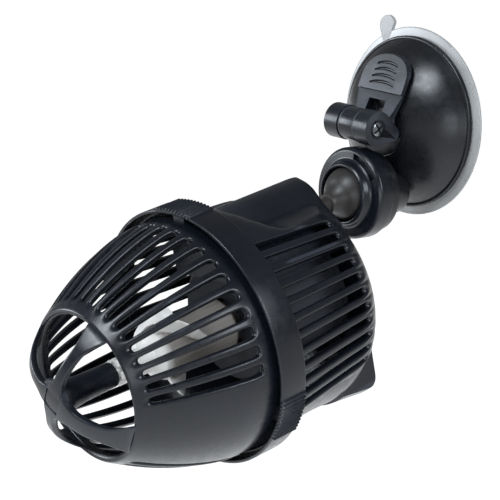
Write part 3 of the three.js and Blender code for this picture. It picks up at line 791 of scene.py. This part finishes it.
def housing_barrel():
    outline = Outline(barrel_points(), -1)
    root = outline.find(-7.4)
    tip = outline.find(-40.2)
    start, stop = outline.find(-5.4), outline.find(-46.5)
    rows = [start] + [root + (tip - root) * k / 9 for k in range(10)] + [stop]
    slot = {"rows": rows, "start": 1.3, "stop": 1.15, "scoop_start": 0, "scoop_stop": 2.6, "rings": RIBS}
    holed = {5 + k for k in range(11)} | {VENTS - 6 - k for k in range(11)}
    lead = rim_path(start, 0, start)
    across = [stop + (outline.length - stop) * k / 12 for k in range(13)]
    trail = [(t, 0) for t in across] + [(t, wall) for t in reversed(across)]
    bm = slotted_shell(outline, VENTS, holed, slot, lead, trail, flattened)
    return smooth(new_object("housing_barrel", bm, PUMP, "pump", BLACK, ["motor_housing"], 75))


def low_lobe():
    """Waisted lower skin of the housing, with a rounded corner where it stands out at the back."""
    corner = rounded([(36.9, -44), (37.1, housing_back), (17, housing_back)], 3.5, closed=False, steps=8)
    section = [Vector((waist(z), z)) for z in (-8.8, -14, -20, -27, -33, -39)] + corner[1:]
    section += [Vector((17, housing_back + 3)), Vector((30, -38)), Vector((32, -8.8))]
    steps = 40
    bm = bmesh.new()
    rings = []
    for k in range(steps + 1):
        a = math.radians(180 - LOW_HALF + 2 * LOW_HALF * k / steps)
        rings.append([bm.verts.new((p.x * math.sin(a), p.x * math.cos(a), p.y)) for p in section])
    bridge(bm, rings)
    bmesh.ops.recalc_face_normals(bm, faces=bm.faces)
    blank = loose("lobe_blank", bm)
    # behind this length only the flat-sided middle of the lobe stays
    side, length, reach_out = 20.5, -38.5, 60
    keeper = loose("keep", prism([(-side, -reach_out), (side, -reach_out), (side, 0), (-side, 0)],
                                 housing_back - 1, length + 1.5))
    lead = lathe([(0, length), (reach_out, length), (reach_out, 0), (0, 0)], 96)
    boolean(keeper, loose("lead", lead), "UNION")
    boolean(blank, keeper, "INTERSECT")
    return bevel(new_object("low_lobe", to_bmesh(blank), PUMP, "pump", BLACK), 1.1, 4, 60)


def stem_boss():
    """Fin-like boss round the stem: rounded ridge, hollow flanks and a rounded back edge."""
    back, corner = housing_back - 0.6, 3.2
    half = [(0, 34.5), (3.6, 33.5), (6.6, 31.6), (10, 27.4), (14, 24.4), (17.2, 21)]
    line = rounded([(-x, y) for x, y in half[:0:-1]] + half, 1.6, closed=False, steps=3)
    line = [Vector((-17.2, 14))] + line + [Vector((17.2, 14))]
    normals = []
    for i, p in enumerate(line):
        run = line[min(i + 1, len(line) - 1)] - line[max(i - 1, 0)]
        normals.append(Vector((-run.y, run.x)).normalized())
    stations = [(-12, 0), (-30, 0)]
    stations += [(back + corner * (1 - math.sin(a)), corner * (1 - math.cos(a)))
                 for a in (math.radians(15 * k) for k in range(7))]
    bm = bmesh.new()
    rings = [[bm.verts.new((*(p - n * inset), z)) for p, n in zip(line, normals)] for z, inset in stations]
    bridge(bm, rings)
    return new_object("stem_boss", bm, PUMP, "pump", BLACK, sharp=60)


GRIPS = (3.5, 120, 240)
RIB_COUNT = 11
GRIP_HALF = 11.5


def ring_radius_at(angle):
    """Ring radius round the axis, with the ribs of the grip zones."""
    pitch = 2 * GRIP_HALF / RIB_COUNT
    for centre in GRIPS:
        off = (angle - centre + 180) % 360 - 180
        if abs(off) < GRIP_HALF:
            wave = math.cos(2 * math.pi * (off + GRIP_HALF) / pitch)
            return ring_radius + 0.3 - 0.42 * (1 + wave)
    return ring_radius - 0.45


def grip_ring():
    angles = []
    angle = 0.0
    while angle < 359.9:
        near = any(abs((angle - c + 180) % 360 - 180) < GRIP_HALF + 1 for c in GRIPS)
        angles.append(angle)
        angle += 0.3 if near else 1.5
    bm = bmesh.new()
    rings = []
    for angle in angles:
        r = ring_radius_at(angle)
        section = rounded([(38.4, 0), (r, 0), (r, -ring_width), (37.4, -ring_width), (37.4, -7.6),
                           (38.4, -7.6)], 0.55, steps=4)
        a = math.radians(angle)
        rings.append([bm.verts.new((p.x * math.sin(a), p.x * math.cos(a), p.y)) for p in section])
    bridge(bm, rings, ends=False)
    return new_object("grip_ring", bm, PUMP, "pump", BLACK, sharp=60)


def impeller_paint():
    """White blades and comb on a hub darkened towards the motor by painted shade."""
    n = Nodes("impeller_painted_hub_shade")
    centre = ring_centre * MM
    from_centre = n.add("ShaderNodeVectorMath", operation="SUBTRACT")
    n.link(n.place, from_centre.inputs[0])
    from_centre.inputs[1].default_value = centre
    along = n.add("ShaderNodeVectorMath", operation="DOT_PRODUCT")
    n.link(from_centre.outputs["Vector"], along.inputs[0])
    along.inputs[1].default_value = pump_axis
    across = n.add("ShaderNodeVectorMath", operation="CROSS_PRODUCT")
    n.link(from_centre.outputs["Vector"], across.inputs[0])
    across.inputs[1].default_value = pump_axis
    out = n.add("ShaderNodeVectorMath", operation="LENGTH")
    n.link(across.outputs["Vector"], out.inputs[0])
    # painted shade: the hub behind the blades, close to the motor, is coloured dark brown instead of white
    behind = n.span(along.outputs["Value"], 1, 0, 12 * MM, 15 * MM)
    inside = n.span(out.outputs["Value"], 1, 0, 8.2 * MM, 9.2 * MM)
    both = n.add("ShaderNodeMath", operation="MULTIPLY")
    n.link(behind, both.inputs[0])
    n.link(inside, both.inputs[1])
    cloud = n.span(n.noise(60, 5), 0, 1)
    pale = n.mix(cloud, (0.66, 0.64, 0.61), (0.8, 0.79, 0.77))
    dark = n.mix(cloud, (0.05, 0.037, 0.028), (0.09, 0.066, 0.05))
    n.link(n.mix(both.outputs[0], pale, dark), n.shader.inputs["Base Color"])
    n.link(n.span(n.noise(420, 6), 0.35, 0.5), n.shader.inputs["Roughness"])
    n.bump(n.noise(1500, 3), 0.06, 0.05)
    return {"material": n.material, "slot": "impeller_plastic"}


def paint_cad_nodes():
    """Materials for the CAD pieces that stay in view."""
    slots = {"black_plastic": INSIDE, "steel": STEEL, "ceramic": CERAMIC, "ferrite": FERRITE,
             "copper_winding": COPPER, "core_steel": CORE, "rubber": RUBBER,
             "impeller_plastic": impeller_paint(), "clear_pvc": PVC, "cover_plastic": COVER}
    for part in frame["record"]["subparts"]:
        obj = frame["nodes"][part["node"]]
        obj.data.materials.clear()
        obj.data.materials.append(slots[part["material_slot"]]["material"])


# ---- light, floor and camera ---------------------------------------------------------


def studio():
    low, high = (Vector(corner) for corner in cad_box)
    centre = (low + high) / 2
    world = bpy.data.worlds.new("studio")
    world.use_nodes = True
    background = world.node_tree.nodes["Background"]
    background.inputs["Color"].default_value = (1, 1, 1, 1)
    background.inputs["Strength"].default_value = 0.25
    bpy.context.scene.world = world
    floor_mesh = bmesh.new()
    bmesh.ops.create_grid(floor_mesh, x_segments=4, y_segments=4, size=200)
    floor_mesh.transform(Matrix.Translation((0, 0, low.z - 0.5)))
    mesh = bpy.data.meshes.new("floor")
    floor_mesh.to_mesh(mesh)
    floor_mesh.free()
    floor = bpy.data.objects.new("floor", mesh)
    bpy.context.scene.collection.objects.link(floor)
    n = Nodes("floor")
    n.link(n.mix(n.span(n.noise(3, 2), 0, 1), (0.93, 0.93, 0.93), (0.95, 0.95, 0.95)),
           n.shader.inputs["Base Color"])
    n.set(Roughness=0.9, Emission_Color=(1, 1, 1, 1), Emission_Strength=0.8)
    mesh.materials.append(n.material)
    softbox("key", centre + Vector((0.1, -0.7, 0.75)), centre, 0.42, 14)
    softbox("left", centre + Vector((-0.75, -0.55, 0.25)), centre, 0.4, 8)
    softbox("low", centre + Vector((0.62, -0.5, 0.02)), centre, 0.3, 1.6)
    softbox("right", centre + Vector((0.85, 0.1, 0.35)), centre, 0.35, 7)


def softbox(name, spot, aim, size, power):
    light = bpy.data.lights.new(name, "AREA")
    light.size = size
    light.energy = power
    light.color = (0.86, 0.93, 1.0)
    obj = bpy.data.objects.new(name, light)
    obj.location = spot
    obj.rotation_euler = (aim - spot).to_track_quat("-Z", "Y").to_euler()
    bpy.context.scene.collection.objects.link(obj)


def camera():
    """Long lens at the azimuth and height of the photograph."""
    azimuth, elevation = math.radians(49.48), math.radians(9.49)
    back = Vector((math.sin(azimuth) * math.cos(elevation), -math.cos(azimuth) * math.cos(elevation),
                   math.sin(elevation)))
    right = Vector((0, 0, 1)).cross(back).normalized()
    up = back.cross(right)
    low, high = (Vector(corner) for corner in cad_box)
    aim = (low + high) / 2 + right * 0.00175 - up * 0.0023
    data = bpy.data.cameras.new("camera")
    data.lens = 129.6
    data.sensor_width = 36
    obj = bpy.data.objects.new("camera", data)
    turn = Matrix((right, up, back)).transposed().to_4x4()
    obj.matrix_world = Matrix.Translation(aim + back * 0.5363) @ turn
    bpy.context.scene.collection.objects.link(obj)
    bpy.context.scene.camera = obj
    bpy.context.scene.view_settings.view_transform = "Standard"


paint_cad_nodes()
suction_disc()
cup_cover()
collar_nut()
lever()
stud_and_screw()
ball_and_stem()
cage_shell()
cage_spokes()
cage_hub()
cage_tabs()
housing_barrel()
low_lobe()
stem_boss()
grip_ring()
studio()
camera()
